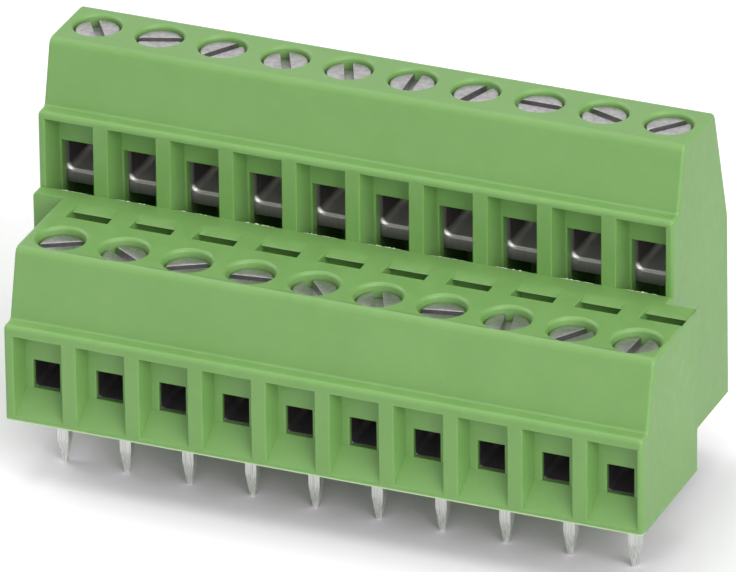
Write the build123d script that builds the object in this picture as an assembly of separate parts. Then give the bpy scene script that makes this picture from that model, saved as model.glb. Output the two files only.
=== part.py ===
from build123d import *

import os
from dataclasses import dataclass

os.makedirs("parts", exist_ok=True)

# A two-level screw terminal block for a circuit board: ten poles in a low front row and ten in a
# tall rear row, half a pitch to the side of it. Millimetres. Z = 0 is the face that sits on the
# board, X runs along the rows and -Y is the side that the wires come from. In every pole a screw
# that cannot rise turns in the housing and lifts a threaded sleeve, which draws the wire up
# against a fixed contact bar.

# The grid of poles
pole_count = 10
pitch = 3.81
row_stagger = pitch / 2

# The clamp of one pole, from the board up: these add up to the housing's heights
floor_gap = 0.08
strip_thickness = 0.6
jaw_height = 0.85
wire_space = 2.1
lintel = 1.88
front_clamp_rise = 4.32
rear_clamp_rise = 4.26
head_height = 1.0
front_head_sunk = 0.4
rear_head_sunk = 0.25

# The housing, seen from its end
front_depth = 8.35
front_end_bias = 0.12
rear_depth = 9.55
front_header = 0.64
rear_header = 0.43
ledge_depth = 0.9
front_top_setback = 1.86
rear_top_setback = 1.8
sill_depth = 0.85
knee_height = 11.2
back_lean = 2.05
back_draft = 0.25
knee_radius = 3.0
back_top_radius = 0.5
top_radius = 0.55
band_radius = 0.3
ledge_radius = 0.2
end_radius = 0.22

# The wire entries: a funnel in the band with a wire hole in its back wall
entry_width = 2.93
entry_taper = 0.2
entry_lip = 0.3
front_entry_depth = 1.25
rear_entry_depth = 1.5
rear_entry_sink = 1.25
rear_entry_height = 5.47
front_hole_width = 1.6
front_hole_height = 1.75
front_hole_brow = 0.25
rear_hole_width = 2.25

# The wells behind the front screws, which keep the moulding's walls even
well_width = 2.52
well_shift = 0.39
well_front = 6.25
well_length = 1.95
well_depth = 1.6
well_slot = 0.9
ramp_foot_drop = 0.22

# The clamp screws
shank_radius = 1.0
head_radius = 1.28
head_bevel = 0.16
neck_radius = 0.92
neck_length = 0.3
tip_bevel = 0.2
slot_width = 0.5
slot_depth = 0.5
front_screw_setback = 3.7
rear_screw_setback = 4.25
head_clearance = 0.095
shank_clearance = 0.1
seat_web = 0.6
hole_rim = 0.14

# The rising sleeves and the contacts that pass through them
bar_width = 1.3
sleeve_depth = 4.0
sleeve_side = 0.3
sleeve_corner = 0.4
sleeve_edge = 0.12
wire_lead = 0.15
nut_height = 1.45
nut_gap = 0.1
thread_clearance = 0.05
sleeve_clearance = 0.08
tip_gap = 0.05
bar_end_gap = 0.15
bend_radius = 0.3
leg_gap = 0.1

# The solder pins
pin_width = 0.7
pin_length = 3.9
pin_taper = 1.5
pin_tip_share = 0.45
front_pin_setback = 3.5

# How far each screw's slot is turned from the row, in degrees, counter-clockwise from above
front_slot_turns = (29, 147, 30, 8, 130, 114, 12, 103, 58, 88)
rear_slot_turns = (123, 20, 58, 116, 114, 95, 72, 0, 160, 51)

# Worked out from the sizes above
total_depth = front_depth + rear_depth
front_face = -total_depth / 2
step_face = front_face + front_depth
rear_face = step_face + sill_depth
back_face = total_depth / 2
row_length = pole_count * pitch
front_left = (row_stagger - row_length) / 2 - front_end_bias
rear_left = -(row_stagger + row_length) / 2
front_bar = strip_thickness + floor_gap + jaw_height + wire_space
front_height = front_bar + strip_thickness + front_clamp_rise + head_height + front_head_sunk
front_hole_top = front_bar - front_hole_brow
rear_entry_bottom = front_height - rear_entry_sink
rear_bar = rear_entry_bottom + rear_entry_height - lintel
rear_height = rear_bar + strip_thickness + rear_clamp_rise + head_height + rear_head_sunk
window_width = 2 * (shank_radius + thread_clearance)
sleeve_width = window_width + 2 * sleeve_side
shaft_width = sleeve_width + 2 * sleeve_clearance
shaft_depth = sleeve_depth + 2 * leg_gap
nut_bottom = strip_thickness + nut_gap
shank_length = min(front_clamp_rise, rear_clamp_rise) - tip_gap


@dataclass(frozen=True)
class Row:
    """One row of poles: where it stands and how high its wire entries are."""

    name: str
    shift: float
    face: float
    top: float
    bar_underside: float
    hole_top: float
    header: float
    entry_depth: float
    lip: float
    hole_bottom: float
    hole_width: float
    screw_setback: float
    head_sunk: float
    slot_turns: tuple

    @property
    def entry_top(self):
        return self.hole_top + lintel

    @property
    def band_top(self):
        return self.entry_top + self.header

    @property
    def screw_y(self):
        return self.face + self.screw_setback

    @property
    def seat(self):
        return self.top - self.head_sunk - head_height

    @property
    def leg_y(self):
        return self.screw_y + shaft_depth / 2 + strip_thickness / 2

    def pole_x(self, index):
        return self.shift + (index - (pole_count - 1) / 2) * pitch


front = Row(
    name="front",
    shift=row_stagger / 2,
    face=front_face,
    top=front_height,
    bar_underside=front_bar,
    hole_top=front_hole_top,
    header=front_header,
    entry_depth=front_entry_depth,
    lip=entry_lip,
    hole_bottom=front_hole_top - front_hole_height,
    hole_width=front_hole_width,
    screw_setback=front_screw_setback,
    head_sunk=front_head_sunk,
    slot_turns=front_slot_turns,
)
rear = Row(
    name="rear",
    shift=-row_stagger / 2,
    face=rear_face,
    top=rear_height,
    bar_underside=rear_bar,
    hole_top=rear_bar,
    header=rear_header,
    entry_depth=rear_entry_depth,
    lip=rear_entry_bottom,
    hole_bottom=rear_entry_bottom,
    hole_width=rear_hole_width,
    screw_setback=rear_screw_setback,
    head_sunk=rear_head_sunk,
    slot_turns=rear_slot_turns,
)


def box(x, y, z):
    """A box from three (low, high) pairs."""
    size = [pair[1] - pair[0] for pair in (x, y, z)]
    middle = [(pair[0] + pair[1]) / 2 for pair in (x, y, z)]
    return Pos(*middle) * Box(*size)


def along_row(outline, left):
    """An outline in Y and Z drawn out along the row from its left end."""
    sheet = make_face(Polyline(*[(left, y, z) for y, z in outline], close=True))
    return extrude(sheet, row_length, dir=(1, 0, 0))


def long_edges(solid, y, z):
    """The solid's edges along the row that pass through the point (y, z)."""
    return [
        edge
        for edge in solid.edges().filter_by(Axis.X)
        if abs(edge.center().Y - y) < 1e-4 and abs(edge.center().Z - z) < 1e-4
    ]


def front_block():
    """The low front half, with its band, ledge and leaning face."""
    ledge = front_face + ledge_depth
    top_edge = front_face + front_top_setback
    block = along_row(
        [
            (front_face, 0),
            (front_face, front.band_top),
            (ledge, front.band_top),
            (top_edge, front_height),
            (step_face, front_height),
            (step_face, 0),
        ],
        front_left,
    )
    block = fillet(long_edges(block, top_edge, front_height), top_radius)
    block = fillet(long_edges(block, front_face, front.band_top), band_radius)
    return fillet(long_edges(block, ledge, front.band_top), ledge_radius)


def rear_block():
    """The tall rear half, with its sill, band, ledge, leaning face and sloping back."""
    ledge = rear_face + ledge_depth
    top_edge = rear_face + rear_top_setback
    knee = back_face - back_draft
    top_back = knee - back_lean
    block = along_row(
        [
            (step_face, 0),
            (step_face, front_height),
            (rear_face, front_height),
            (rear_face, rear.band_top),
            (ledge, rear.band_top),
            (top_edge, rear_height),
            (top_back, rear_height),
            (knee, knee_height),
            (back_face, 0),
        ],
        rear_left,
    )
    block = fillet(long_edges(block, top_edge, rear_height), top_radius)
    block = fillet(long_edges(block, top_back, rear_height), back_top_radius)
    block = fillet(long_edges(block, knee, knee_height), knee_radius)
    block = fillet(long_edges(block, rear_face, rear.band_top), band_radius)
    return fillet(long_edges(block, ledge, rear.band_top), ledge_radius)


def round_ends(block, left, corner_y):
    """Round the outline of both end faces, but not at the board or in the corner with the other half."""

    def outer(edge):
        middle = edge.center()
        on_end = min(abs(middle.X - left), abs(middle.X - left - row_length)) < 1e-4
        on_board = middle.Z < 1e-4
        in_corner = abs(middle.Y - corner_y) < 1e-4 and middle.Z < front_height
        return on_end and not on_board and not in_corner

    return fillet([edge for edge in block.edges() if outer(edge)], end_radius)


def wire_entry(row, x):
    """The funnel in the band and the wire hole in its back wall."""
    back = row.face + row.entry_depth
    half = entry_width / 2
    mouth = Plane(origin=(x, row.face, 0), x_dir=(1, 0, 0), z_dir=(0, -1, 0))
    throat = Plane(origin=(x, back, 0), x_dir=(1, 0, 0), z_dir=(0, -1, 0))
    wide = Polyline(
        (-half, row.lip), (half, row.lip), (half, row.entry_top), (-half, row.entry_top), close=True
    )
    narrow_half = half - entry_taper
    narrow = Polyline(
        (-narrow_half, row.hole_bottom),
        (narrow_half, row.hole_bottom),
        (narrow_half, row.entry_top),
        (-narrow_half, row.entry_top),
        close=True,
    )
    funnel = loft([mouth * make_face(wide), throat * make_face(narrow)], ruled=True)
    hole = box(
        (x - row.hole_width / 2, x + row.hole_width / 2),
        (row.face, row.screw_y),
        (row.hole_bottom, row.hole_top),
    )
    return funnel + hole


def clamp_shaft(row, x):
    """The shaft for the sleeve, the channel for the contact's leg and the stepped screw hole."""
    half_width = shaft_width / 2
    half_depth = shaft_depth / 2
    shaft = box(
        (x - half_width, x + half_width),
        (row.screw_y - half_depth, row.screw_y + half_depth),
        (0, row.seat - seat_web),
    )
    channel = box(
        (x - bar_width / 2, x + bar_width / 2),
        (row.screw_y, row.leg_y + strip_thickness / 2),
        (0, row.bar_underside + strip_thickness),
    )
    bore = Pos(x, row.screw_y, row.seat / 2) * Cylinder(shank_radius + shank_clearance, row.seat)
    counterbore_radius = head_radius + head_clearance
    counterbore = Pos(x, row.screw_y, row.seat) * Cylinder(
        counterbore_radius, row.top - row.seat, align=(Align.CENTER, Align.CENTER, Align.MIN)
    )
    rim = Pos(x, row.screw_y, row.top) * Cone(
        counterbore_radius,
        counterbore_radius + hole_rim,
        hole_rim,
        align=(Align.CENTER, Align.CENTER, Align.MAX),
    )
    return shaft + channel + bore + counterbore + rim


def moulding_well(x):
    """One well in the front half's top: a deep slot in front and a ramp up to the sill."""
    low_y = front_face + well_front
    outline = [
        (low_y, front_height),
        (low_y, front_height - well_depth),
        (low_y + well_slot, front_height - well_depth),
        (low_y + well_slot, front_height - ramp_foot_drop),
        (low_y + well_length, front_height),
    ]
    left = x + well_shift - well_width / 2
    sheet = make_face(Polyline(*[(left, y, z) for y, z in outline], close=True))
    return extrude(sheet, well_width, dir=(1, 0, 0))


def housing():
    """The moulded body of both rows, hollow under every pole."""
    low = round_ends(front_block(), front_left, step_face)
    high = round_ends(rear_block(), rear_left, step_face)
    body = low + high
    cuts = []
    for row in (front, rear):
        for index in range(pole_count):
            x = row.pole_x(index)
            cuts += [wire_entry(row, x), clamp_shaft(row, x)]
    cuts += [moulding_well(front.pole_x(index)) for index in range(pole_count)]
    return body - cuts


def clamp_screw(turn):
    """A slotted screw, upright, with the underside of its head at Z = 0."""
    head = Cylinder(head_radius, head_height, align=(Align.CENTER, Align.CENTER, Align.MIN))
    head = chamfer(head.edges().group_by(Axis.Z)[-1], head_bevel)
    slot_length = 2 * head_radius + slot_width
    slot = Pos(0, 0, head_height) * Box(slot_length, slot_width, 2 * slot_depth)
    shank = Cylinder(shank_radius, shank_length, align=(Align.CENTER, Align.CENTER, Align.MAX))
    shank = chamfer(shank.edges().group_by(Axis.Z)[0], tip_bevel)
    undercut = Cylinder(
        shank_radius, neck_length, align=(Align.CENTER, Align.CENTER, Align.MAX)
    ) - Cylinder(neck_radius, neck_length, align=(Align.CENTER, Align.CENTER, Align.MAX))
    return Rot(0, 0, turn) * (head - slot + (shank - undercut))


def rising_sleeve():
    """The clamp sleeve, with the top of its jaw at Z = 0: jaw, two sides and a threaded head."""
    window_height = wire_space + nut_bottom
    height = jaw_height + window_height + nut_height
    body = Pos(0, 0, -jaw_height) * Box(
        sleeve_width, sleeve_depth, height, align=(Align.CENTER, Align.CENTER, Align.MIN)
    )
    body = chamfer(body.edges().filter_by(Axis.Z), sleeve_edge)
    window = Box(
        window_width, sleeve_depth, window_height, align=(Align.CENTER, Align.CENTER, Align.MIN)
    )
    window = fillet(window.edges().filter_by(Axis.Y).group_by(Axis.Z)[0], sleeve_corner)
    thread = Pos(0, 0, window_height) * Cylinder(
        shank_radius + thread_clearance, nut_height, align=(Align.CENTER, Align.CENTER, Align.MIN)
    )
    sleeve = body - window - thread
    half_rim = wire_lead / 2
    mouth = [
        edge
        for edge in sleeve.edges().group_by(Axis.Y)[0]
        if -half_rim < edge.center().Z < window_height + half_rim
        and abs(edge.center().X) < window_width / 2 + half_rim
    ]
    return chamfer(mouth, wire_lead)


def solder_pin(x, y):
    """The part of a contact that goes through the board, with a four-sided blunt point."""
    straight = box(
        (x - pin_width / 2, x + pin_width / 2),
        (y - strip_thickness / 2, y + strip_thickness / 2),
        (pin_taper - pin_length, strip_thickness),
    )
    root = Pos(x, y, pin_taper - pin_length) * Rectangle(pin_width, strip_thickness)
    end = Pos(x, y, -pin_length) * Rectangle(
        pin_tip_share * pin_width, pin_tip_share * strip_thickness
    )
    return straight + loft([root, end], ruled=True)


def contact(row, index):
    """A bent strip: the bar inside the sleeve, the leg behind it and the solder pin."""
    x = row.pole_x(index)
    outer = row.leg_y + strip_thickness / 2
    inner = outer - strip_thickness
    bar_front = row.screw_y - sleeve_depth / 2 + bar_end_gap
    bar_top = row.bar_underside + strip_thickness
    pin_y = row.face + front_pin_setback if row is front else row.leg_y
    outline = [(outer, 0), (outer, bar_top), (bar_front, bar_top), (bar_front, row.bar_underside)]
    outline += [(inner, row.bar_underside)]
    if row is front:
        toe = pin_y - strip_thickness / 2
        outline += [(inner, strip_thickness), (toe, strip_thickness), (toe, 0)]
    else:
        outline += [(inner, 0)]
    left = x - bar_width / 2
    sheet = make_face(Polyline(*[(left, y, z) for y, z in outline], close=True))
    strip = extrude(sheet, bar_width, dir=(1, 0, 0))
    strip = fillet(long_edges(strip, outer, bar_top), bend_radius)
    return strip + solder_pin(x, pin_y)


export_step(housing(), "parts/housing.step")
for row in (front, rear):
    contacts = [contact(row, index) for index in range(pole_count)]
    export_step(Compound(children=contacts), f"parts/{row.name}_contacts.step")
    for index in range(pole_count):
        x = row.pole_x(index)
        number = index + 1
        screw = Pos(x, row.screw_y, row.seat) * clamp_screw(row.slot_turns[index])
        export_step(screw, f"parts/{row.name}_screw_{number}.step")
        sleeve = Pos(x, row.screw_y, row.bar_underside - wire_space) * rising_sleeve()
        export_step(sleeve, f"parts/{row.name}_sleeve_{number}.step")
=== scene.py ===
"""A twenty pole screw terminal block for circuit boards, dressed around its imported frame.

Lengths are in metres. The board's face is at Z = 0, the rows run along X, the wires enter
from -Y and the pins reach down to the floor. Each sub-assembly is a class that holds its
sizes, builds its meshes and dresses them, and main() builds the classes in order.
"""

import logging
import math
import random
from dataclasses import dataclass, field
from enum import Enum

import bmesh
import bpy
from mathutils import Matrix, Vector


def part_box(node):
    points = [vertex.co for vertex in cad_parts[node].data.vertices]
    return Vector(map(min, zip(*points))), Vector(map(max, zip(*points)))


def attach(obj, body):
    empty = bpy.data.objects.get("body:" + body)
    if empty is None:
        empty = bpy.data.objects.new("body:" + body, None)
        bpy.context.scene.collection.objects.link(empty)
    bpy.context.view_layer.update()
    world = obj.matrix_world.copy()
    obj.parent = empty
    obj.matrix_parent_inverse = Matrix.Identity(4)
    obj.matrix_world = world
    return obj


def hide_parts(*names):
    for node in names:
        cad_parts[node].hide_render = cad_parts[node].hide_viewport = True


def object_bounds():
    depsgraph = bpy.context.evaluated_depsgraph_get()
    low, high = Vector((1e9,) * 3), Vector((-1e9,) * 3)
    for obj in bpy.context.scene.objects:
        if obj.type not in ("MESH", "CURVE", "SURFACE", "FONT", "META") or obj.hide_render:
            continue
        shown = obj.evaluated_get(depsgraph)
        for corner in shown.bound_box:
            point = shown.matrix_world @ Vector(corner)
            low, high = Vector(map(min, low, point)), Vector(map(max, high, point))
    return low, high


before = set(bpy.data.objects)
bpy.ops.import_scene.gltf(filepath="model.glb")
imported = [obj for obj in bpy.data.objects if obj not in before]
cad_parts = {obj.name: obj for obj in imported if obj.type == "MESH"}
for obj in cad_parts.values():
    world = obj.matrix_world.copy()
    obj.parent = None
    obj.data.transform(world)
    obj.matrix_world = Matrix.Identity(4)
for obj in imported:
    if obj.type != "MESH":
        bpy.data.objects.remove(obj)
cad_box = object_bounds()

log = logging.getLogger("terminal_block")

MM = 0.001
MERGE_DISTANCE = 0.0002 * MM
FLAT_ANGLE = math.radians(0.5)
SMOOTH_ANGLE = math.radians(30.0)
LEAST_EDGE = math.radians(35.0)
EDGE_STRIPS = 2

Colour = tuple[float, float, float]


class Row(Enum):
    """The two rows of poles: the low one at the front and the high one at the back."""

    FRONT = "front"
    REAR = "rear"


class Slot(Enum):
    """The record's material slots."""

    HOUSING = "housing_plastic"
    SCREW = "screw_steel"
    SLEEVE = "sleeve_nickel"
    CONTACT = "contact_tin"


class Part(Enum):
    """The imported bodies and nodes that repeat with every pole."""

    SCREW = "screw"
    SLEEVE = "sleeve"

    def of(self, row: Row, pole: int) -> str:
        """The name of this part's body and node at one pole."""
        return f"{row.value}_{self.value}_{pole}"


POLES = range(1, 11)


# Shared mesh work


def copied_mesh(node: str, whole_flats: bool = True) -> bmesh.types.BMesh:
    """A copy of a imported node's mesh with its loose triangles merged and flats joined.

    Args:
        node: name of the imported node.
        whole_flats: whether every flat becomes one face, or only pairs of triangles are
            joined, which suits a small piece whose flats have holes in them.

    Returns:
        A closed bmesh that the caller shapes and frees.
    """
    bm = bmesh.new()
    bm.from_mesh(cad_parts[node].data)
    bmesh.ops.remove_doubles(bm, verts=bm.verts, dist=MERGE_DISTANCE)
    if whole_flats:
        bmesh.ops.dissolve_limit(
            bm, angle_limit=FLAT_ANGLE, use_dissolve_boundaries=False,
            verts=bm.verts, edges=bm.edges, delimit=set(),
        )
    else:
        bmesh.ops.join_triangles(
            bm, faces=bm.faces, cmp_seam=False, cmp_sharp=False, cmp_uvs=False, cmp_vcols=False,
            cmp_materials=False, angle_face_threshold=FLAT_ANGLE, angle_shape_threshold=math.pi,
        )
    return bm


def corners_of(parts: list) -> list[bmesh.types.BMVert]:
    """The corners of some edges or faces, each once and in the order in which they come."""
    return list(dict.fromkeys(vert for part in parts for vert in part.verts))


def cut_faces(bm: bmesh.types.BMesh, faces: list[bmesh.types.BMFace], near: float,
              place: tuple[float, float, float], normal: tuple[float, float, float]) -> dict:
    """Cuts some of a mesh's faces along a plane and keeps both sides.

    Args:
        bm: the mesh to work on.
        faces: the faces that are cut.
        near: distance within which a corner counts as lying on the plane.
        place: a point of the plane.
        normal: the plane's normal.

    Returns:
        The cut's result, with its geometry under "geom".
    """
    edges = list(dict.fromkeys(edge for face in faces for edge in face.edges))
    return bmesh.ops.bisect_plane(bm, geom=corners_of(faces) + edges + faces, dist=near,
                                  plane_co=place, plane_no=normal)


def soften_edges(bm: bmesh.types.BMesh, width: float) -> None:
    """Rounds the edges that turn outwards by more than LEAST_EDGE.

    Args:
        bm: the mesh to work on.
        width: width of the rounding, along each neighbouring face.
    """
    edges = [e for e in bm.edges if e.is_manifold and e.calc_face_angle_signed(0.0) > LEAST_EDGE]
    bmesh.ops.bevel(
        bm, geom=edges, offset=width, offset_type="OFFSET", segments=EDGE_STRIPS,
        profile=0.5, affect="EDGES", clamp_overlap=False, material=-1,
        loop_slide=True, miter_outer="SHARP", miter_inner="SHARP",
    )


def shade(bm: bmesh.types.BMesh, crease: float = SMOOTH_ANGLE) -> None:
    """Shades a mesh smooth apart from the edges that turn by more than the crease angle.

    Args:
        bm: the mesh to work on.
        crease: smallest turn that stays a sharp edge, in radians.
    """
    for face in bm.faces:
        face.smooth = True
    for edge in bm.edges:
        edge.smooth = edge.is_manifold and edge.calc_face_angle(0.0) < crease


def finished_object(bm: bmesh.types.BMesh, name: str) -> bpy.types.Object:
    """Makes the scene's object from a shaped mesh and frees the mesh.

    Args:
        bm: the finished mesh, with its place in its vertices.
        name: name of the new object.

    Returns:
        The object, at the origin, with its normals weighted by face area.
    """
    mesh = bpy.data.meshes.new(name)
    bm.to_mesh(mesh)
    bm.free()
    if "custom_normal" in mesh.attributes:
        mesh.attributes.remove(mesh.attributes["custom_normal"])
    obj = bpy.data.objects.new(name, mesh)
    bpy.context.scene.collection.objects.link(obj)
    even = obj.modifiers.new("even_normals", "WEIGHTED_NORMAL")
    even.keep_sharp = True
    return obj


def settle(obj: bpy.types.Object, finish: bpy.types.Material, body: str, slot: Slot,
           *nodes: str) -> None:
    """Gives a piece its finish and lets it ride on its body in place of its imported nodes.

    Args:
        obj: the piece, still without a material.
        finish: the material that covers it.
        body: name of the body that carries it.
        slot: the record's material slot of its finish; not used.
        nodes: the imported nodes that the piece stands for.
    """
    obj.data.materials.append(finish)
    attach(obj, body)
    if nodes:
        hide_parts(*nodes)
    log.info("%s rides on %s: %d faces", obj.name, body, len(obj.data.polygons))


# Shared shader work


class NodeSheet:
    """A node tree that is filled in from left to right, one call a node."""

    def __init__(self, tree: bpy.types.NodeTree) -> None:
        """Starts on an empty tree."""
        self.tree = tree
        self.count = 0

    def add(self, kind: str, **settings: object) -> bpy.types.Node:
        """Adds a node.

        Args:
            kind: the node's type name without its ShaderNode prefix.
            settings: properties of the node, such as operation.

        Returns:
            The new node.
        """
        node = self.tree.nodes.new(kind if kind.startswith("Node") else "ShaderNode" + kind)
        node.location = (200.0 * (self.count % 8), -260.0 * (self.count // 8))
        self.count += 1
        for name, value in settings.items():
            setattr(node, name, value)
        return node

    def link(self, source: bpy.types.NodeSocket, target: bpy.types.NodeSocket) -> None:
        """Joins an output to an input."""
        self.tree.links.new(source, target)

    def feed(self, node: bpy.types.Node, **inputs: object) -> bpy.types.Node:
        """Fills in a node's inputs by name or number.

        Args:
            node: the node to fill in.
            inputs: socket names, with underscores for spaces, or i0, i1 and so on for
                numbers. A value is either an output socket or a constant.

        Returns:
            The same node.
        """
        for name, value in inputs.items():
            key = int(name[1:]) if name[0] == "i" and name[1:].isdigit() else name.replace("_", " ")
            socket = node.inputs[key]
            if isinstance(value, bpy.types.NodeSocket):
                self.link(value, socket)
            else:
                socket.default_value = value
        return node

    def maths(self, operation: str, *values: object) -> bpy.types.NodeSocket:
        """The result of a sum on sockets or numbers.

        Args:
            operation: name of the Math node's operation.
            values: its inputs in order.

        Returns:
            The node's output.
        """
        node = self.add("Math", operation=operation)
        self.feed(node, **{f"i{index}": value for index, value in enumerate(values)})
        return node.outputs[0]

    def noise(self, vector: bpy.types.NodeSocket, size: float, detail: float = 2.0,
              roughness: float = 0.5) -> bpy.types.NodeSocket:
        """Noise from 0 to 1 with features of a given size.

        Args:
            vector: the place that is read, in metres.
            size: size of the coarsest features.
            detail: number of finer layers.
            roughness: strength of the finer layers.

        Returns:
            The noise's value.
        """
        node = self.add("TexNoise")
        self.feed(node, Vector=vector, Scale=1.0 / size, Detail=detail, Roughness=roughness)
        return node.outputs["Fac"]

    def spread(self, value: bpy.types.NodeSocket, low: float, high: float,
               to_low: float = 0.0, to_high: float = 1.0) -> bpy.types.NodeSocket:
        """Maps a range of a value onto another range and holds it there.

        Args:
            value: the value that is read.
            low: value that gives to_low.
            high: value that gives to_high.
            to_low: result at low.
            to_high: result at high.

        Returns:
            The mapped value.
        """
        node = self.add("MapRange", clamp=True)
        self.feed(node, i0=value, i1=low, i2=high, i3=to_low, i4=to_high)
        return node.outputs[0]

    def mix(self, factor: object, first: object, second: object) -> bpy.types.NodeSocket:
        """A colour between two colours.

        Args:
            factor: share of the second colour.
            first: colour at 0, a socket or four numbers.
            second: colour at 1, a socket or four numbers.

        Returns:
            The mixed colour.
        """
        node = self.add("Mix", data_type="RGBA")
        self.feed(node, i0=factor, i6=first, i7=second)
        return node.outputs[2]


def new_group(name: str, inputs: dict[str, float], outputs: list[str]) -> NodeSheet:
    """Starts a shader node group with named number sockets and a Vector input.

    Args:
        name: the group's name.
        inputs: number inputs with their usual values.
        outputs: number outputs.

    Returns:
        The group's sheet, with its input node first and its output node second.
    """
    tree = bpy.data.node_groups.new(name, "ShaderNodeTree")
    tree.interface.new_socket("Vector", in_out="INPUT", socket_type="NodeSocketVector")
    for label, value in inputs.items():
        socket = tree.interface.new_socket(label, in_out="INPUT", socket_type="NodeSocketFloat")
        socket.default_value = value
    for label in outputs:
        tree.interface.new_socket(label, in_out="OUTPUT", socket_type="NodeSocketFloat")
    sheet = NodeSheet(tree)
    sheet.add("NodeGroupInput")
    sheet.add("NodeGroupOutput")
    return sheet


def speckle_group() -> bpy.types.NodeTree:
    """Fine grain with a few small pits, as on moulded and plated surfaces.

    Returns:
        A group with the inputs Vector, Grain Size and Pit Size and the output Height, which
        runs from 0 to 1 and falls below 0 in a pit.
    """
    sheet = new_group("fine_speckle", {"Grain Size": 0.12 * MM, "Pit Size": 0.6 * MM}, ["Height"])
    source, target = sheet.tree.nodes[0], sheet.tree.nodes[1]
    grain = sheet.add("TexNoise")
    sheet.feed(grain, Vector=source.outputs["Vector"], Detail=3.0,
               Scale=sheet.maths("DIVIDE", 1.0, source.outputs["Grain Size"]))
    cells = sheet.add("TexVoronoi", feature="F1")
    sheet.feed(cells, Vector=source.outputs["Vector"],
               Scale=sheet.maths("DIVIDE", 1.0, source.outputs["Pit Size"]))
    pits = sheet.spread(cells.outputs["Distance"], 0.05, 0.11, 1.0, 0.0)
    sheet.link(sheet.maths("SUBTRACT", grain.outputs["Fac"], pits), target.inputs["Height"])
    return sheet.tree


def drawn_lines_group() -> bpy.types.NodeTree:
    """Fine lines along one direction, as a rolling mill or a punch leaves on strip.

    Returns:
        A group with the inputs Vector, Line Width and Line Length and the output Lines,
        from 0 to 1. The lines run along the vector's Z.
    """
    sheet = new_group("drawn_lines", {"Line Width": 0.05 * MM, "Line Length": 2.0 * MM}, ["Lines"])
    source, target = sheet.tree.nodes[0], sheet.tree.nodes[1]
    across = sheet.maths("DIVIDE", 1.0, source.outputs["Line Width"])
    along = sheet.maths("DIVIDE", 1.0, source.outputs["Line Length"])
    scale = sheet.add("CombineXYZ")
    sheet.feed(scale, X=across, Y=across, Z=along)
    stretched = sheet.add("VectorMath", operation="MULTIPLY")
    sheet.feed(stretched, i0=source.outputs["Vector"], i1=scale.outputs[0])
    lines = sheet.add("TexNoise")
    sheet.feed(lines, Vector=stretched.outputs[0], Scale=1.0, Detail=2.0)
    sheet.link(lines.outputs["Fac"], target.inputs["Lines"])
    return sheet.tree


@dataclass
class SharedEffects:
    """The node groups that more than one finish uses, each built once."""

    speckle: bpy.types.NodeTree = field(default_factory=speckle_group)
    drawn_lines: bpy.types.NodeTree = field(default_factory=drawn_lines_group)


def start_material(name: str, kind: str = "BsdfPrincipled",
                   **constants: object) -> tuple[bpy.types.Material, NodeSheet, bpy.types.Node]:
    """A new material with its one shader.

    Args:
        name: the material's name.
        kind: the shader node's type name without its ShaderNode prefix.
        constants: shader sockets that are the same all over the surface.

    Returns:
        The material, its sheet and its shader.
    """
    material = bpy.data.materials.new(name)
    material.use_nodes = True
    material.node_tree.nodes.clear()
    sheet = NodeSheet(material.node_tree)
    shader = sheet.add(kind)
    sheet.feed(shader, **constants)
    output = sheet.add("OutputMaterial")
    sheet.link(shader.outputs["BSDF"], output.inputs["Surface"])
    return material, sheet, shader


def place_group(sheet: NodeSheet, group: bpy.types.NodeTree, **inputs: object) -> bpy.types.Node:
    """Adds a shared node group to a material.

    Args:
        sheet: the material's sheet.
        group: the node group.
        inputs: its inputs, as in NodeSheet.feed.

    Returns:
        The group's node.
    """
    node = sheet.add("Group")
    node.node_tree = group
    return sheet.feed(node, **inputs)


def relief(sheet: NodeSheet, height: bpy.types.NodeSocket, depth: float,
           strength: float) -> bpy.types.NodeSocket:
    """A normal that carries a height map.

    Args:
        sheet: the material's sheet.
        height: the height, from 0 to 1.
        depth: the real depth of a height of 1.
        strength: how much of the relief shows.

    Returns:
        The normal.
    """
    bump = sheet.add("Bump")
    sheet.feed(bump, Height=height, Distance=depth, Strength=strength)
    return bump.outputs["Normal"]


# Finishes


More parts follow.
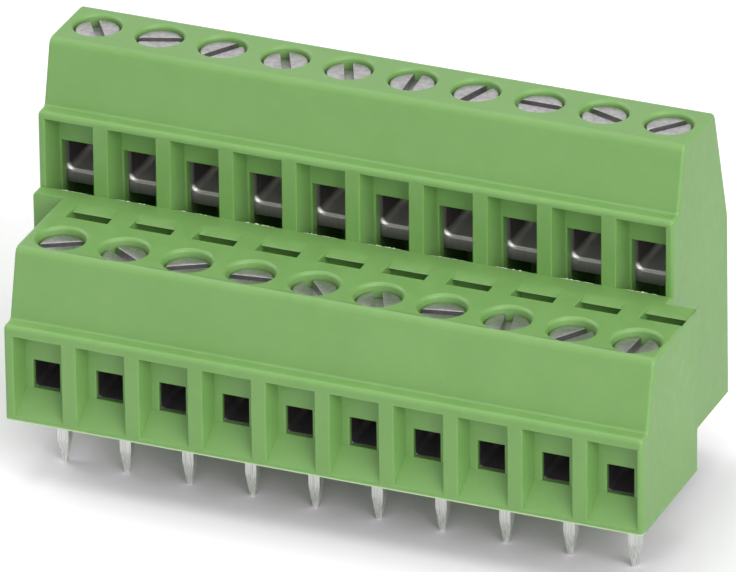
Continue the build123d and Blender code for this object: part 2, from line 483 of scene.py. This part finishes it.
@dataclass(frozen=True)
class GreenPolyamide:
    """Satin green moulded polyamide with faint flow marks, small edges that catch light and a pale
    line along the bottom front edge, part painted highlight and part pale parting-line flash.
    """

    colour: Colour = (0.193, 0.376, 0.110)
    flow_colour: Colour = (0.181, 0.361, 0.102)
    pale_colour: Colour = (0.227, 0.406, 0.133)
    roughness: float = 0.44
    roughness_swing: float = 0.08
    grain_size: float = 0.09 * MM
    pit_size: float = 1.4 * MM
    grain_depth: float = 0.004 * MM
    grain_strength: float = 0.25
    flow_size: float = 5.0 * MM
    cloud_size: float = 0.9 * MM
    # Pale line along the bottom front edge: part painted highlight, part the pale colour of
    # parting-line flash.
    flash_and_highlight_colour: Colour = (0.62, 0.76, 0.50)
    flash_and_highlight_share: float = 0.8
    edge_height: float = 0.14 * MM
    edge_reach: float = -8.5 * MM
    pale_share: float = 0.35
    subsurface: float = 0.35
    subsurface_reach: tuple[float, float, float] = (0.5, 1.0, 0.3)
    subsurface_depth: float = 0.6 * MM
    refraction: float = 1.53

    def build(self, effects: SharedEffects) -> bpy.types.Material:
        """Builds the material.

        Args:
            effects: the shared node groups.

        Returns:
            The finished material.
        """
        material, sheet, shader = start_material(
            "green_polyamide", IOR=self.refraction, Subsurface_Weight=self.subsurface,
            Subsurface_Radius=self.subsurface_reach, Subsurface_Scale=self.subsurface_depth,
        )
        place = sheet.add("TexCoord").outputs["Object"]
        flow = sheet.noise(place, self.flow_size, detail=3.0)
        clouds = sheet.noise(place, self.cloud_size, detail=4.0, roughness=0.6)
        tone = sheet.mix(sheet.spread(flow, 0.35, 0.65),
                         (*self.colour, 1.0), (*self.flow_colour, 1.0))
        tone = sheet.mix(sheet.spread(clouds, 0.45, 0.8, 0.0, self.pale_share),
                         tone, (*self.pale_colour, 1.0))
        # Painted highlight with pale flash: a paler colour in a thin strip along the bottom front
        # edge.
        split = sheet.add("SeparateXYZ")
        sheet.feed(split, Vector=place)
        low = sheet.spread(split.outputs["Z"], 0.4 * self.edge_height, self.edge_height,
                           self.flash_and_highlight_share, 0.0)
        front = sheet.maths("LESS_THAN", split.outputs["Y"], self.edge_reach)
        tone = sheet.mix(sheet.maths("MULTIPLY", low, front), tone, (*self.flash_and_highlight_colour, 1.0))
        sheet.link(tone, shader.inputs["Base Color"])
        gloss = sheet.spread(clouds, 0.3, 0.7, self.roughness - self.roughness_swing,
                             self.roughness + self.roughness_swing)
        sheet.link(gloss, shader.inputs["Roughness"])
        grain = place_group(sheet, effects.speckle, Vector=place,
                            Grain_Size=self.grain_size, Pit_Size=self.pit_size)
        normal = relief(sheet, grain.outputs["Height"], self.grain_depth, self.grain_strength)
        sheet.link(normal, shader.inputs["Normal"])
        return material


@dataclass(frozen=True)
class PaleFeather:
    """Thin torn polyamide, whitened where it was stretched."""

    colour: Colour = (0.36, 0.54, 0.25)
    torn_colour: Colour = (0.72, 0.80, 0.64)
    roughness: float = 0.5
    refraction: float = 1.53
    tear_size: float = 0.25 * MM

    def build(self) -> bpy.types.Material:
        """Builds the material.

        Returns:
            The finished material.
        """
        material, sheet, shader = start_material("pale_feather", Roughness=self.roughness,
                                                 IOR=self.refraction)
        place = sheet.add("TexCoord").outputs["Object"]
        torn = sheet.spread(sheet.noise(place, self.tear_size, detail=3.0), 0.4, 0.6)
        tone = sheet.mix(torn, (*self.colour, 1.0), (*self.torn_colour, 1.0))
        sheet.link(tone, shader.inputs["Base Color"])
        return material


@dataclass(frozen=True)
class TurnedNickel:
    """Satin nickel on turned steel, with rings round the screw's axis and handling marks."""

    colour: Colour = (0.47, 0.45, 0.465)
    dull_colour: Colour = (0.32, 0.303, 0.315)
    roughness: float = 0.38
    polish: float = 0.06
    dullness: float = 0.10
    ring_spacing: float = 0.07 * MM
    ring_depth: float = 0.002 * MM
    ring_share: float = 0.5
    relief_strength: float = 0.35
    cloud_size: float = 0.5 * MM
    grain_size: float = 0.10 * MM
    pit_size: float = 0.5 * MM
    uv_map: str = "turned_face"

    def build(self, effects: SharedEffects) -> bpy.types.Material:
        """Builds the material.

        Args:
            effects: the shared node groups.

        Returns:
            The finished material.
        """
        material, sheet, shader = start_material("turned_nickel", Metallic=1.0)
        place = sheet.add("UVMap", uv_map=self.uv_map).outputs["UV"]
        radius = sheet.add("VectorMath", operation="LENGTH")
        sheet.feed(radius, i0=place)
        turns = sheet.maths("MULTIPLY", radius.outputs["Value"],
                            2.0 * math.pi * MM / self.ring_spacing)
        rings = sheet.spread(sheet.maths("SINE", turns), -1.0, 1.0)
        metres = sheet.add("VectorMath", operation="SCALE")
        sheet.feed(metres, i0=place, Scale=MM)
        marks = place_group(sheet, effects.speckle, Vector=metres.outputs[0],
                            Grain_Size=self.grain_size, Pit_Size=self.pit_size)
        cloud = sheet.noise(metres.outputs[0], self.cloud_size, detail=4.0, roughness=0.65)
        tone = sheet.mix(sheet.spread(cloud, 0.42, 0.62),
                         (*self.colour, 1.0), (*self.dull_colour, 1.0))
        sheet.link(tone, shader.inputs["Base Color"])
        gloss = sheet.spread(cloud, 0.3, 0.7, self.roughness - self.polish,
                             self.roughness + self.dullness)
        sheet.link(gloss, shader.inputs["Roughness"])
        height = sheet.maths("ADD", sheet.maths("MULTIPLY", rings, self.ring_share),
                             marks.outputs["Height"])
        normal = relief(sheet, height, self.ring_depth, self.relief_strength)
        sheet.link(normal, shader.inputs["Normal"])
        return material


@dataclass(frozen=True)
class StampedPlate:
    """Plated strip, stamped and bent: long fine lines, a soft sheen and a little tarnish."""

    name: str
    colour: Colour
    dull_colour: Colour
    roughness: float
    polish: float = 0.06
    dullness: float = 0.08
    line_width: float = 0.05 * MM
    line_length: float = 3.0 * MM
    line_depth: float = 0.003 * MM
    grain_size: float = 0.12 * MM
    pit_size: float = 0.7 * MM
    mark_share: float = 0.4
    relief_strength: float = 0.4
    # A painted highlight along a jaw's top edge, with a paler painted sheen fading down the face
    # below it.
    glint_levels: tuple[float, ...] = ()
    glint_colour: Colour = (0.80, 0.77, 0.75)
    glint_face: float = 0.9 * MM
    glint_face_share: float = 0.30
    glint_rim: float = 0.09 * MM
    glint_top: float = 0.05 * MM
    glint_fade: float = 0.35 * MM

    def painted_glint(self, sheet: NodeSheet, place: bpy.types.NodeSocket,
             level: float) -> bpy.types.NodeSocket:
        """Where a painted highlight lies along the jaw's top edge, with a paler painted sheen below
        it that fades downwards.

        Args:
            sheet: the material's sheet.
            place: the object's coordinates.
            level: the height of the edge that carries the painted highlight.

        Returns:
            A mask: 1 at the edge, faint on the face below it and fading out above it.
        """
        split = sheet.add("SeparateXYZ")
        sheet.feed(split, Vector=place)
        z = split.outputs["Z"]
        face = sheet.spread(z, level - self.glint_face, level - self.glint_rim,
                            0.0, self.glint_face_share)
        rim = sheet.spread(z, level - self.glint_rim, level - 0.5 * self.glint_rim)
        past = sheet.spread(z, level + self.glint_top, level + self.glint_fade, 1.0, 0.0)
        return sheet.maths("MULTIPLY", sheet.maths("MAXIMUM", face, rim), past)

    def build(self, effects: SharedEffects) -> bpy.types.Material:
        """Builds the material.

        Args:
            effects: the shared node groups.

        Returns:
            The finished material.
        """
        material, sheet, shader = start_material(self.name, Metallic=1.0)
        place = sheet.add("TexCoord").outputs["Object"]
        lines = place_group(sheet, effects.drawn_lines, Vector=place,
                            Line_Width=self.line_width, Line_Length=self.line_length)
        marks = place_group(sheet, effects.speckle, Vector=place,
                            Grain_Size=self.grain_size, Pit_Size=self.pit_size)
        shown = sheet.spread(lines.outputs["Lines"], 0.35, 0.65)
        tone = sheet.mix(shown, (*self.colour, 1.0), (*self.dull_colour, 1.0))
        # Painted highlight along the jaw's top edge, and painted sheen that darkens down the face
        # below it.
        for level in self.glint_levels:
            tone = sheet.mix(self.painted_glint(sheet, place, level), tone, (*self.glint_colour, 1.0))
        sheet.link(tone, shader.inputs["Base Color"])
        gloss = sheet.spread(lines.outputs["Lines"], 0.3, 0.7, self.roughness - self.polish,
                             self.roughness + self.dullness)
        sheet.link(gloss, shader.inputs["Roughness"])
        height = sheet.maths("ADD", lines.outputs["Lines"],
                             sheet.maths("MULTIPLY", marks.outputs["Height"], self.mark_share))
        normal = relief(sheet, height, self.line_depth, self.relief_strength)
        sheet.link(normal, shader.inputs["Normal"])
        return material


# Height of the rear sleeves' jaw edge, where the painted highlight lies.
REAR_JAW_LEVEL = 10.19 * MM
SLEEVE_NICKEL = StampedPlate("sleeve_nickel", colour=(0.24, 0.217, 0.23),
                             dull_colour=(0.185, 0.168, 0.177), roughness=0.56,
                             glint_levels=(REAR_JAW_LEVEL,))
PIN_TIN = StampedPlate("pin_tin", colour=(0.87, 0.86, 0.86),
                       dull_colour=(0.60, 0.595, 0.595), roughness=0.40)


# The block's own parts


@dataclass
class Housing:
    """The green moulding that holds every pole. Its ramps' ends are given as Y and Z."""

    node: str = "housing"
    edge_width: float = 0.05 * MM
    ramp_foot: tuple[float, float] = (-1.80 * MM, 9.73 * MM)
    ramp_head: tuple[float, float] = (-0.75 * MM, 9.95 * MM)
    ramp_sag: float = 0.17 * MM
    ramp_curl: float = 1.6
    ramp_cuts: int = 4
    ramp_lip: float = 0.10 * MM
    ramp_undercut: float = 0.65 * MM
    ramp_margin: float = 0.002 * MM
    ramp_slack: float = 0.01

    def ramp_share(self, place: Vector) -> float:
        """How far a point lies down a ramp, from 0 at its head to 1 at its foot."""
        return (self.ramp_head[0] - place.y) / (self.ramp_head[0] - self.ramp_foot[0])

    def on_ramp(self, place: Vector) -> bool:
        """Tells the points of the ramps from all others.

        Args:
            place: the point.

        Returns:
            Whether it lies on the plane and within the reach of a ramp.
        """
        share = self.ramp_share(place)
        level = self.ramp_head[1] + share * (self.ramp_foot[1] - self.ramp_head[1])
        in_reach = -self.ramp_slack < share < 1.0 + self.ramp_slack
        return in_reach and abs(place.z - level) < self.ramp_margin

    def ramps(self, bm: bmesh.types.BMesh) -> list[bmesh.types.BMFace]:
        """The faces of every ramp that is still flat."""
        return [f for f in bm.faces if f.normal.z > 0.9 and f.normal.y < -0.1
                and all(self.on_ramp(v.co) for v in f.verts)]

    def curve_ramps(self, bm: bmesh.types.BMesh) -> None:
        """Lets the ramp in each moulding well sag in a curve towards its slot.

        Args:
            bm: the moulding's mesh.
        """
        foot_y, (head_y, head_z) = self.ramp_foot[0], self.ramp_head
        for cut in range(1, self.ramp_cuts):
            y = head_y + (foot_y - head_y) * cut / self.ramp_cuts
            cut_faces(bm, self.ramps(bm), MERGE_DISTANCE, (0, y, 0), (0, 1, 0))
        strips = self.ramps(bm)
        for vert in corners_of(strips):
            share = max(0.0, self.ramp_share(vert.co))
            vert.co.z = head_z - self.ramp_sag * share ** self.ramp_curl
        log.info("%d ramp strips curved", len(strips))

    def undercut_ramps(self, bm: bmesh.types.BMesh) -> None:
        """Sets the wall under each ramp back, so that its foot is a lip over a dark slot.

        Args:
            bm: the moulding's mesh.
        """
        foot_y, foot_z = self.ramp_foot
        walls = [f for f in bm.faces if f.normal.y < -0.99
                 and all(abs(v.co.y - foot_y) < self.ramp_margin and v.co.z < foot_z + self.ramp_sag
                         for v in f.verts)]
        lip_z = self.ramp_head[1] - self.ramp_sag - self.ramp_lip
        cut = cut_faces(bm, walls, MERGE_DISTANCE, (0, foot_y, lip_z), (0, 0, 1))
        moved = {v for v in cut["geom"]
                 if isinstance(v, bmesh.types.BMVert) and v.co.z < lip_z + self.ramp_margin}
        for vert in moved:
            vert.co.y += self.ramp_undercut
        log.info("%d corners under the ramps set back", len(moved))

    def build(self) -> bpy.types.Object:
        """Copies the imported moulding, curves its ramps and softens its edges.

        Returns:
            The moulding's object.
        """
        bm = copied_mesh(self.node)
        self.curve_ramps(bm)
        self.undercut_ramps(bm)
        bm.normal_update()
        soften_edges(bm, self.edge_width)
        shade(bm)
        return finished_object(bm, "moulded_housing")

    def dress(self, obj: bpy.types.Object, finish: bpy.types.Material) -> None:
        """Gives the moulding its plastic and sets it on the block."""
        settle(obj, finish, "block", Slot.HOUSING, self.node)


@dataclass
class SillFlash:
    """The thin ragged feather of plastic along the sill under each rear wire hole."""

    length: float = 2.1 * MM
    width: float = 0.05 * MM
    height: float = 0.07 * MM
    edge_y: float = 0.25 * MM
    edge_z: float = 9.95 * MM
    seated: float = 0.01 * MM
    root_depth: float = 0.05 * MM
    lean: float = 0.3
    least_rise: float = 0.002 * MM
    raggedness: float = 2.5
    end_slope: float = 4.0
    half_widths: tuple[float, float] = (0.35, 0.6)
    crease: float = math.radians(50.0)
    steps: int = 26
    seed: int = 7

    def build(self) -> bpy.types.Object:
        """Builds the ten feathers as one object.

        Returns:
            The feathers' object.
        """
        ragged = random.Random(self.seed)
        bm = bmesh.new()
        for pole in POLES:
            low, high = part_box(Part.SLEEVE.of(Row.REAR, pole))
            self.add_feather(bm, (low.x + high.x) / 2.0, ragged)
        bmesh.ops.recalc_face_normals(bm, faces=bm.faces)
        shade(bm, self.crease)
        return finished_object(bm, "sill_flash")

    def add_feather(self, bm: bmesh.types.BMesh, x: float, ragged: random.Random) -> None:
        """Adds one closed ragged ridge.

        Args:
            bm: the mesh that takes it.
            x: the pole's place along the row.
            ragged: source of its uneven heights.
        """
        rings = []
        for step in range(self.steps + 1):
            along = x + self.length * (step / self.steps - 0.5)
            ends = min(1.0, self.end_slope * step / self.steps,
                       self.end_slope * (1.0 - step / self.steps))
            rise = self.height * ends * ragged.random() ** self.raggedness + self.least_rise
            half = self.width * ragged.uniform(*self.half_widths)
            corners = [(self.edge_y - half, self.edge_z - self.seated),
                       (self.edge_y, self.edge_z + rise),
                       (self.edge_y + self.lean * half, self.edge_z - self.root_depth)]
            rings.append([bm.verts.new((along, y, z)) for y, z in corners])
        for first, second in zip(rings, rings[1:]):
            for side in range(3):
                other = (side + 1) % 3
                bm.faces.new((first[side], first[other], second[other], second[side]))
        bm.faces.new(rings[0])
        bm.faces.new(tuple(reversed(rings[-1])))

    def dress(self, obj: bpy.types.Object, finish: bpy.types.Material) -> None:
        """Gives the feathers their pale plastic and sets them on the block."""
        settle(obj, finish, "block", Slot.HOUSING)


@dataclass
class ClampScrew:
    """A slotted cheese-head screw that turns in its well and draws the sleeve up."""

    row: Row
    pole: int
    head_radius: float = 1.28 * MM
    head_height: float = 1.0 * MM
    head_bevel: float = 0.16 * MM
    bevel_round: float = 0.3
    seat_bevel: float = 0.03 * MM
    neck_radius: float = 0.80 * MM
    neck_length: float = 0.3 * MM
    core_radius: float = 0.80 * MM
    thread_radius: float = 1.0 * MM
    thread_lead: float = 0.4 * MM
    thread_root_overlap: float = 0.02 * MM
    thread_root_share: float = 0.42
    thread_crest_share: float = 0.07
    tip_bevel: float = 0.2 * MM
    slot_width: float = 0.5 * MM
    slot_depth: float = 0.5 * MM
    slot_lip: float = 0.09 * MM
    slot_reach: float = 0.75
    steps: int = 48
    thread_steps: int = 28
    crease: float = math.radians(28.0)
    slot_corner: float = math.radians(60.0)

    @property
    def name(self) -> str:
        """The screw's body and node."""
        return Part.SCREW.of(self.row, self.pole)

    def corners(self) -> tuple[Vector, Vector]:
        """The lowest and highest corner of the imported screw."""
        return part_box(self.name)

    def slot_turn(self) -> float:
        """Reads the slot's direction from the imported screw's slot walls.

        Returns:
            The angle of the slot from +X, in radians.
        """
        low, high = self.corners()
        centre = (low + high) / 2.0
        best, turn = 0.0, 0.0
        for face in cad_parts[self.name].data.polygons:
            away = (face.center - centre).to_2d().length
            in_slot = (face.center.z > high.z - self.slot_depth
                       and away < self.slot_reach * self.head_radius)
            if in_slot and abs(face.normal.z) < 0.01 and face.area > best:
                best, turn = face.area, math.atan2(face.normal.y, face.normal.x) + math.pi / 2.0
        return turn

    def outline(self, length: float) -> list[tuple[float, float]]:
        """The screw's half section from the tip's centre up to the head's centre.

        Args:
            length: length of the whole screw.

        Returns:
            Radius and height pairs, with the tip at 0.
        """
        seat = length - self.head_height
        return [
            (0.0, 0.0),
            (self.core_radius - self.tip_bevel, 0.0),
            (self.core_radius, self.tip_bevel),
            (self.core_radius, seat - self.neck_length),
            (self.neck_radius, seat),
            (self.head_radius - self.seat_bevel, seat),
            (self.head_radius, seat + self.seat_bevel),
            (self.head_radius, length - self.head_bevel),
            (self.head_radius - self.bevel_round * self.head_bevel,
             length - self.bevel_round * self.head_bevel),
            (self.head_radius - self.head_bevel, length),
            (0.0, length),
        ]

    def turned_body(self, length: float) -> bmesh.types.BMesh:
        """Spins the outline into a closed screw without a slot.

        Args:
            length: length of the whole screw.

        Returns:
            The screw's mesh, with its axis on Z and its tip at 0.
        """
        bm = bmesh.new()
        verts = [bm.verts.new((radius, 0.0, height)) for radius, height in self.outline(length)]
        edges = [bm.edges.new(pair) for pair in zip(verts, verts[1:])]
        bmesh.ops.spin(bm, geom=verts + edges, cent=(0, 0, 0), axis=(0, 0, 1), dvec=(0, 0, 0),
                       angle=2.0 * math.pi, steps=self.steps, use_merge=True)
        bmesh.ops.remove_doubles(bm, verts=bm.verts, dist=MERGE_DISTANCE)
        bmesh.ops.recalc_face_normals(bm, faces=bm.faces)
        return bm

    def cut_slot(self, bm: bmesh.types.BMesh, length: float) -> None:
        """Presses the slot into the head, along X.

        Args:
            bm: the turned screw.
            length: length of the whole screw.
        """
        half, floor = self.slot_width / 2.0, length - self.slot_depth
        planes = [((0, 0, floor), (0, 0, 1)), ((0, half, 0), (0, 1, 0)), ((0, -half, 0), (0, 1, 0))]
        for place, normal in planes:
            head = [f for f in bm.faces
                    if f.calc_center_median().z > length - self.head_height + MERGE_DISTANCE]
            cut_faces(bm, head, MERGE_DISTANCE / 2.0, place, normal)
        gone = [f for f in bm.faces
                if abs(f.calc_center_median().y) < half and f.calc_center_median().z > floor]
        bmesh.ops.delete(bm, geom=gone, context="FACES")
        rim = [e for e in bm.edges if e.is_boundary]
        low = [v for v in corners_of(rim) if v.co.z < floor + MERGE_DISTANCE]
        for side in (-1.0, 1.0):
            ends = [v for v in low if abs(v.co.y - side * half) < MERGE_DISTANCE]
            bmesh.ops.contextual_create(bm, geom=ends)
        open_edges = [e for e in bm.edges if len(e.link_faces) < 2]
        bmesh.ops.holes_fill(bm, edges=open_edges, sides=0)
        bmesh.ops.recalc_face_normals(bm, faces=bm.faces)

    def thread(self, length: float) -> bmesh.types.BMesh:
        """Sweeps one ridge round the shank as a helix.

        Args:
            length: length of the whole screw.

        Returns:
            The ridge as a closed mesh.
        """
        bm = bmesh.new()
        root = self.core_radius - self.thread_root_overlap
        start = self.tip_bevel
        half = self.thread_root_share * self.thread_lead
        crest = self.thread_crest_share * self.thread_lead
        points = [(root, -half), (self.thread_radius, -crest),
                  (self.thread_radius, crest), (root, half)]
        verts = [bm.verts.new((radius, 0.0, start + half + z)) for radius, z in points]
        face = bm.faces.new(verts)
        shank = length - self.head_height - self.neck_length - start - 2.0 * half
        turns = int(shank / self.thread_lead * self.thread_steps) / self.thread_steps
        steps = int(turns * self.thread_steps)
        bmesh.ops.spin(bm, geom=[face] + list(face.edges) + verts, cent=(0, 0, 0), axis=(0, 0, 1),
                       dvec=(0, 0, turns * self.thread_lead / steps), angle=turns * 2.0 * math.pi,
                       steps=steps, use_merge=False)
        bmesh.ops.recalc_face_normals(bm, faces=bm.faces)
        return bm

    def build(self) -> bpy.types.Object:
        """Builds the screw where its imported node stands.

        Returns:
            The screw's object.
        """
        low, high = self.corners()
        length = high.z - low.z
        bm = self.turned_body(length)
        self.cut_slot(bm, length)
        soft = [e for e in bm.edges
                if e.is_manifold and e.calc_face_angle_signed(0.0) > self.slot_corner
                and min(v.co.z for v in e.verts) > length - self.slot_depth - MERGE_DISTANCE
                and abs(e.verts[0].co.y) < self.slot_width / 2.0 + MERGE_DISTANCE
                and abs(e.verts[1].co.y) < self.slot_width / 2.0 + MERGE_DISTANCE]
        bmesh.ops.bevel(bm, geom=soft, offset=self.slot_lip, offset_type="OFFSET",
                        segments=EDGE_STRIPS, profile=0.5, affect="EDGES", clamp_overlap=True,
                        material=-1)
        ridge = self.thread(length)
        carrier = bpy.data.meshes.new("ridge")
        ridge.to_mesh(carrier)
        ridge.free()
        bm.from_mesh(carrier)
        bpy.data.meshes.remove(carrier)
        self.map_face(bm)
        centre = (low + high) / 2.0
        turn = Matrix.Rotation(self.slot_turn(), 4, "Z")
        place = Matrix.Translation((centre.x, centre.y, low.z)) @ turn
        bmesh.ops.transform(bm, matrix=place, verts=bm.verts)
        shade(bm, self.crease)
        return finished_object(bm, self.name + "_turned")

    def map_face(self, bm: bmesh.types.BMesh) -> None:
        """Writes each point's place from the axis, in millimetres, for the turning rings."""
        layer = bm.loops.layers.uv.new(TurnedNickel.uv_map)
        for face in bm.faces:
            flat = abs(face.normal.z) > 0.5
            for loop in face.loops:
                co = loop.vert.co
                loop[layer].uv = (co.x / MM, co.y / MM) if flat else (co.x / MM, co.z / MM)

    def dress(self, obj: bpy.types.Object, finish: bpy.types.Material) -> None:
        """Gives the screw its plating and sets it on its body."""
        settle(obj, finish, self.name, Slot.SCREW, self.name)


@dataclass
class RisingSleeve:
    """The nickelled cage that the screw lifts to grip the wire."""

    row: Row
    pole: int
    edge_width: float = 0.04 * MM

    @property
    def name(self) -> str:
        """The sleeve's body and node."""
        return Part.SLEEVE.of(self.row, self.pole)

    def build(self) -> bpy.types.Object:
        """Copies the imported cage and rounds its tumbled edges.

        Returns:
            The cage's object.
        """
        bm = copied_mesh(self.name, whole_flats=False)
        soften_edges(bm, self.edge_width)
        shade(bm)
        return finished_object(bm, self.name + "_cage")

    def dress(self, obj: bpy.types.Object, finish: bpy.types.Material) -> None:
        """Gives the cage its plating and sets it on its body."""
        settle(obj, finish, self.name, Slot.SLEEVE, self.name)


@dataclass
class ContactRow:
    """The ten tinned contacts of a row, each with its clamp bar, leg and solder pin."""

    row: Row
    edge_width: float = 0.03 * MM

    @property
    def node(self) -> str:
        """The row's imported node."""
        return f"{self.row.value}_contacts"

    def build(self) -> bpy.types.Object:
        """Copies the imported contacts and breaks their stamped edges.

        Returns:
            The contacts' object.
        """
        bm = copied_mesh(self.node)
        soften_edges(bm, self.edge_width)
        shade(bm)
        return finished_object(bm, f"{self.row.value}_stamped_contacts")

    def dress(self, obj: bpy.types.Object, finish: bpy.types.Material) -> None:
        """Gives the contacts their tin and sets them in the block."""
        settle(obj, finish, "block", Slot.CONTACT, self.node)


# The studio


@dataclass
class PhotoCamera:
    """The camera at the photograph's viewing angle."""

    azimuth: float = math.radians(22.839)
    elevation: float = math.radians(26.892)
    roll: float = math.radians(-0.695)
    distance: float = 650.0 * MM
    focal_pixels: float = 11730.4
    image_width: int = 736
    sensor_width: float = 36.0
    target: Vector = field(default_factory=lambda: Vector((0.7825, -0.95, 8.0)) * MM)
    shift_right: float = 0.3227 * MM
    shift_up: float = -0.0488 * MM

    def build(self) -> bpy.types.Object:
        """Places the camera and makes it the scene's.

        Returns:
            The camera's object.
        """
        sin_a, cos_a = math.sin(self.azimuth), math.cos(self.azimuth)
        sin_e, cos_e = math.sin(self.elevation), math.cos(self.elevation)
        back = Vector((sin_a * cos_e, -cos_a * cos_e, sin_e))
        level = Vector((cos_a, sin_a, 0.0))
        upright = back.cross(level)
        right = math.cos(self.roll) * level + math.sin(self.roll) * upright
        up = math.cos(self.roll) * upright - math.sin(self.roll) * level
        data = bpy.data.cameras.new("photo_camera")
        data.sensor_fit = "HORIZONTAL"
        data.sensor_width = self.sensor_width
        data.lens = self.focal_pixels * self.sensor_width / self.image_width
        data.clip_start = 10.0 * MM
        data.clip_end = 50.0
        obj = bpy.data.objects.new("photo_camera", data)
        place = self.target + self.distance * back - self.shift_right * right - self.shift_up * up
        turn = Matrix((right, up, back)).transposed().to_4x4()
        obj.matrix_world = Matrix.Translation(place) @ turn
        bpy.context.scene.collection.objects.link(obj)
        bpy.context.scene.camera = obj
        return obj


@dataclass
class SoftBox:
    """A large soft lamp that looks at the block."""

    name: str
    azimuth: float
    elevation: float
    share: float
    distance: float = 0.70
    size: float = 0.50

    def build(self) -> bpy.types.Object:
        """Places the lamp so that a surface facing it gets its share of the light.

        Returns:
            The lamp's object.
        """
        data = bpy.data.lights.new(self.name, "AREA")
        data.shape = "SQUARE"
        data.size = self.size
        data.energy = self.share * math.pi ** 2 * self.distance ** 2
        obj = bpy.data.objects.new(self.name, data)
        direction = Vector((math.sin(self.azimuth) * math.cos(self.elevation),
                            -math.cos(self.azimuth) * math.cos(self.elevation),
                            math.sin(self.elevation)))
        obj.location = self.distance * direction
        obj.rotation_euler = direction.to_track_quat("Z", "Y").to_euler()
        bpy.context.scene.collection.objects.link(obj)
        return obj


@dataclass
class Studio:
    """A pale floor with painted shade near the block, an even dome and four soft lamps."""

    floor_level: float
    floor_radius: float = 3.0
    floor_plain: float = 0.80
    floor_seen: float = 1.22
    # Painted shade on the floor: its reach, its tint and its occlusion samples.
    shade_reach: float = 11.0 * MM
    shade_tint: Colour = (0.68, 0.60, 0.71)
    shade_samples: int = 12
    dome: float = 0.15
    lamps: tuple[SoftBox, ...] = (
        SoftBox("key_softbox", math.radians(60.0), math.radians(30.0), share=0.67),
        SoftBox("front_softbox", math.radians(22.0), math.radians(24.0), share=0.29),
        SoftBox("top_softbox", 0.0, math.radians(88.0), share=0.35),
        SoftBox("side_softbox", math.radians(-98.0), math.radians(38.0), share=0.36),
    )

    def build_floor(self) -> bpy.types.Object:
        """Makes the floor, which looks white to the camera, keeps the block's shadow and has
        painted shade, darker near the block, in the colour the camera sees.

        Returns:
            The floor's object.
        """
        bm = bmesh.new()
        bmesh.ops.create_circle(bm, cap_ends=True, segments=64, radius=self.floor_radius,
                                matrix=Matrix.Translation((0.0, 0.0, self.floor_level)))
        mesh = bpy.data.meshes.new("studio_floor")
        bm.to_mesh(mesh)
        bm.free()
        obj = bpy.data.objects.new("studio_floor", mesh)
        bpy.context.scene.collection.objects.link(obj)
        material, sheet, matt = start_material("pale_floor", "BsdfDiffuse")
        rays = sheet.add("LightPath")
        # Painted shade: the colour the camera sees turns to a tinted grey where ambient occlusion
        # finds the block near.
        nearby = sheet.add("AmbientOcclusion", samples=self.shade_samples)
        sheet.feed(nearby, Distance=self.shade_reach)
        shaded = (*(self.floor_seen * share for share in self.shade_tint), 1.0)
        seen = sheet.mix(nearby.outputs["AO"], shaded, self.even(self.floor_seen))
        grey = sheet.mix(rays.outputs["Is Glossy Ray"], self.even(self.floor_plain), self.even(1.0))
        sheet.feed(matt, Color=sheet.mix(rays.outputs["Is Camera Ray"], grey, seen))
        mesh.materials.append(material)
        return obj

    def build_dome(self) -> None:
        """Makes the world an even dome that the camera and reflections see as white."""
        world = bpy.data.worlds.new("studio_dome")
        bpy.context.scene.world = world
        world.use_nodes = True
        sheet = NodeSheet(world.node_tree)
        world.node_tree.nodes.clear()
        rays = sheet.add("LightPath")
        seen = sheet.maths("MAXIMUM", rays.outputs["Is Camera Ray"], rays.outputs["Is Glossy Ray"])
        seen = sheet.maths("MAXIMUM", seen, rays.outputs["Is Transmission Ray"])
        level = sheet.spread(seen, 0.0, 1.0, self.dome, 1.0)
        back = sheet.add("Background")
        sheet.feed(back, Color=self.even(1.0), Strength=level)
        sheet.link(back.outputs[0], sheet.add("OutputWorld").inputs["Surface"])

    @staticmethod
    def even(level: float) -> tuple[float, float, float, float]:
        """A grey of one level."""
        return (level, level, level, 1.0)

    def build(self) -> None:
        """Builds the floor, the dome, the lamps and the colour settings."""
        self.build_floor()
        self.build_dome()
        for lamp in self.lamps:
            lamp.build()
        bpy.context.scene.view_settings.view_transform = "Standard"


def main() -> None:
    """Builds the camera, the block's pieces and the studio."""
    logging.basicConfig(level=logging.INFO, format="%(name)s: %(message)s")
    PhotoCamera().build()
    effects = SharedEffects()
    plastic = GreenPolyamide().build(effects)
    screw_plating = TurnedNickel().build(effects)
    sleeve_plating = SLEEVE_NICKEL.build(effects)
    tin = PIN_TIN.build(effects)

    housing = Housing()
    housing.dress(housing.build(), plastic)
    flash = SillFlash()
    flash.dress(flash.build(), PaleFeather().build())
    for row in Row:
        contacts = ContactRow(row)
        contacts.dress(contacts.build(), tin)
        for pole in POLES:
            screw = ClampScrew(row, pole)
            screw.dress(screw.build(), screw_plating)
            sleeve = RisingSleeve(row, pole)
            sleeve.dress(sleeve.build(), sleeve_plating)
    Studio(floor_level=cad_box[0][2]).build()


if __name__ == "__main__":
    main()
